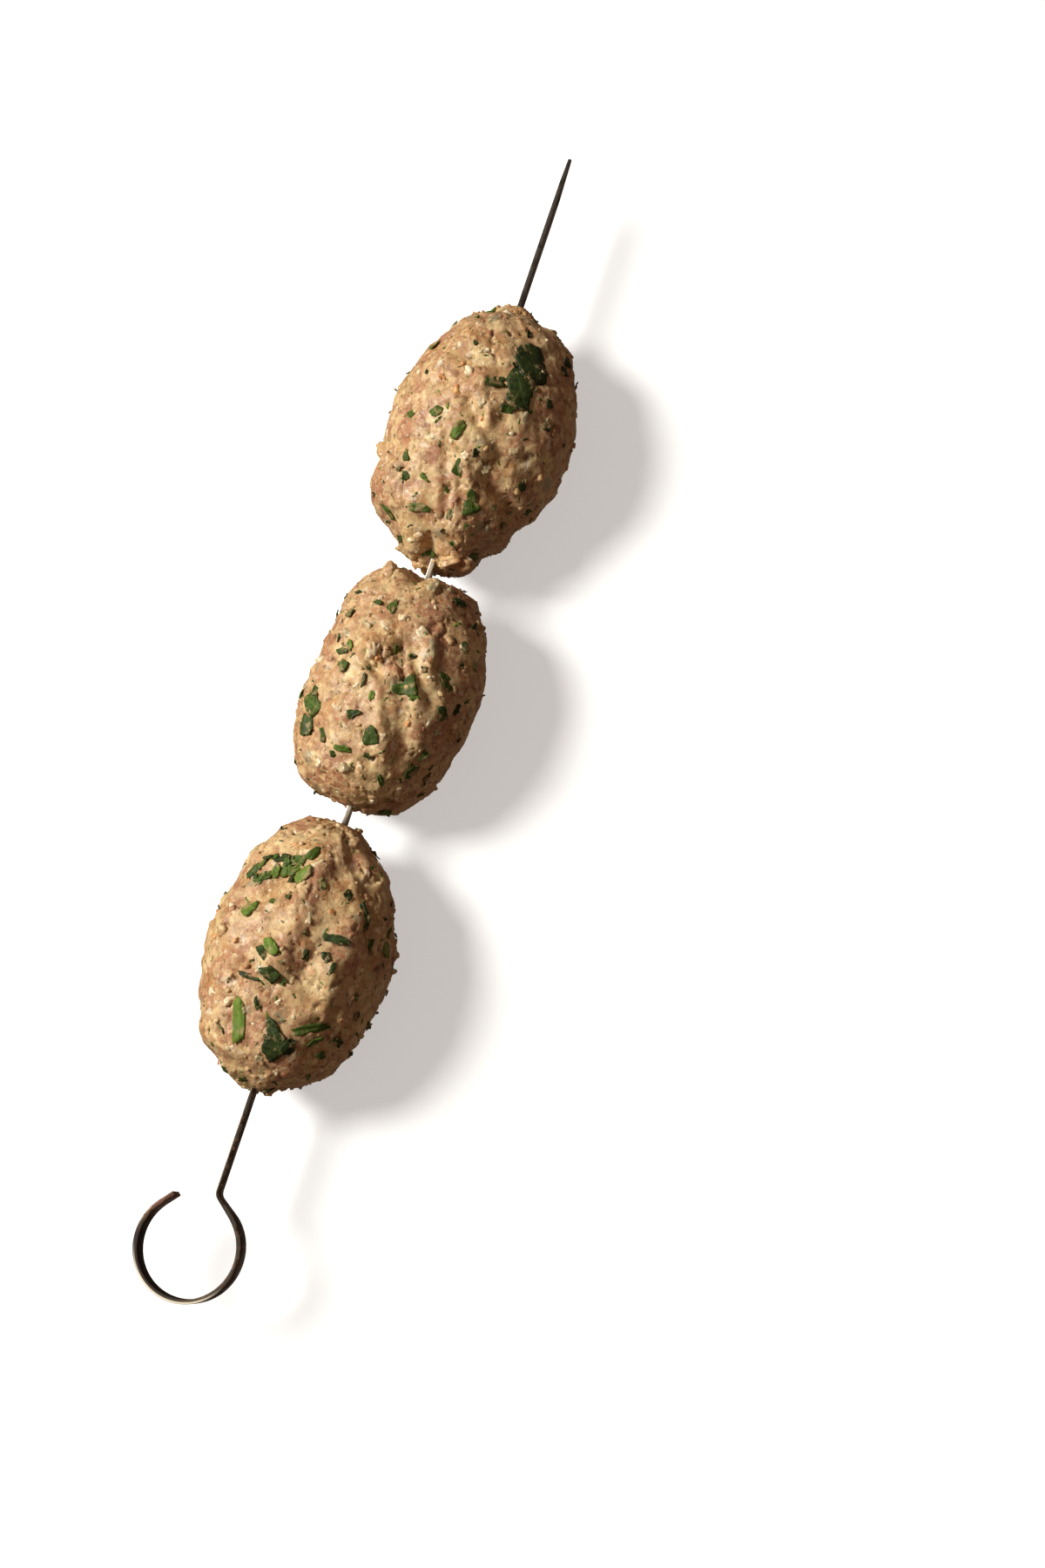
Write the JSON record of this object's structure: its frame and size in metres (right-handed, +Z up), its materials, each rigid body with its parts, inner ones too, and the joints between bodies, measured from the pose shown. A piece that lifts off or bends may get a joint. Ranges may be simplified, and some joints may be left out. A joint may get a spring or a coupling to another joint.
{
  "type": "kofta skewer",
  "caption": "Raw minced-meat kofta with chopped parsley and onion, pressed in oval lumps along a flat pointed steel skewer that ends in an open ring handle.",
  "frame": {"origin": "on the plane it rests on, under the middle of its box", "axes": "+X along the skewer towards its point, +Z up, +Y to the left when looking from the handle to the point"},
  "size_m": [0.3, 0.0462, 0.04],
  "materials": {
    "steel": "flat steel band, heat-darkened, with brighter edges and a copper tint on the ring",
    "raw_kofta": "moist raw minced meat, beige-brown, with green parsley and pale onion"
  },
  "bodies": {
    "root": {"skewer": "steel", "kofta_handle_end": "raw_kofta", "kofta_middle": "raw_kofta", "kofta_point_end": "raw_kofta"}
  },
  "joints": []
}
